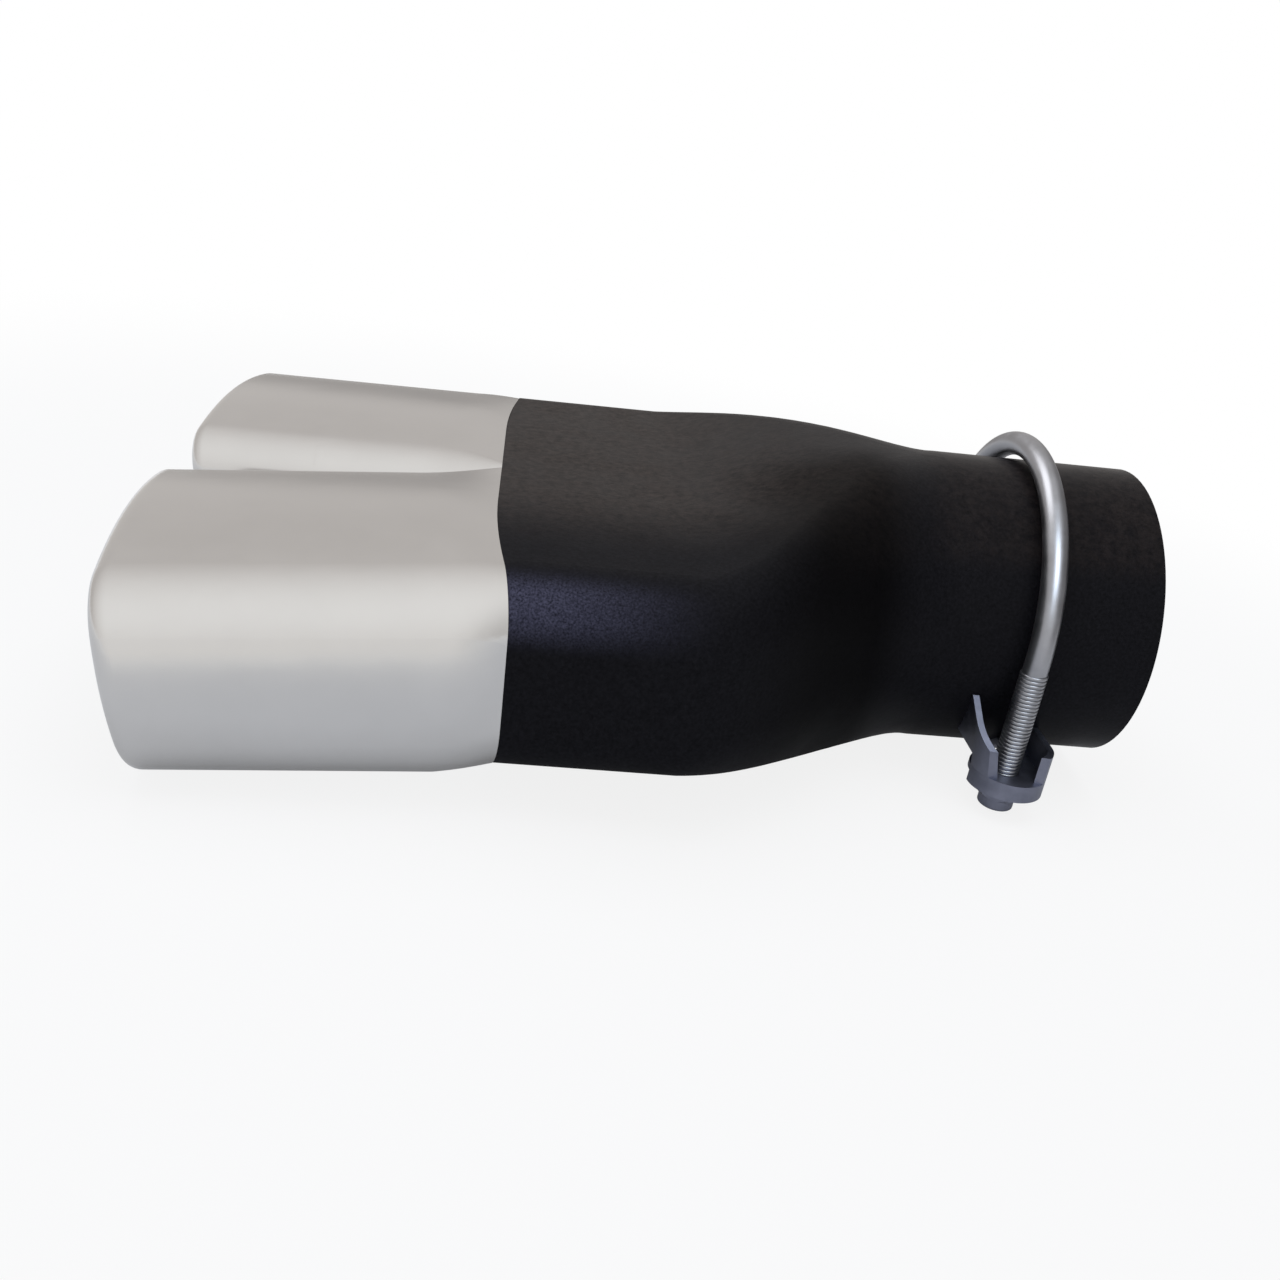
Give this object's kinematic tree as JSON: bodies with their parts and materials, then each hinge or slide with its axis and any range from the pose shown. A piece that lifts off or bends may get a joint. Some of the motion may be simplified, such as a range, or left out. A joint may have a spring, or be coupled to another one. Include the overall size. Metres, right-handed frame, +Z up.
{
  "type": "exhaust tip",
  "caption": "Clamp-on exhaust tip: splayed, slant-cut polished outlets of rounded rectangular section on a black body that narrows to a round inlet with a rod clamp.",
  "frame": {"origin": "centre of the inlet's open end, on the bore axis", "axes": "+X along the inlet bore, out of its open end towards the tail pipe; +Y towards the left outlet; +Z up"},
  "size_m": [0.2385, 0.1854, 0.0831],
  "materials": {
    "black_paint": "matt sprayed black",
    "polished_steel": "polished stainless steel",
    "zinc_plate": "dull zinc plate"
  },
  "bodies": {
    "root": {"body": "black_paint", "outlet_left": "polished_steel", "outlet_right": "polished_steel", "u_bolt": "zinc_plate", "saddle": "zinc_plate", "clamp_nuts": "zinc_plate"}
  },
  "joints": []
}
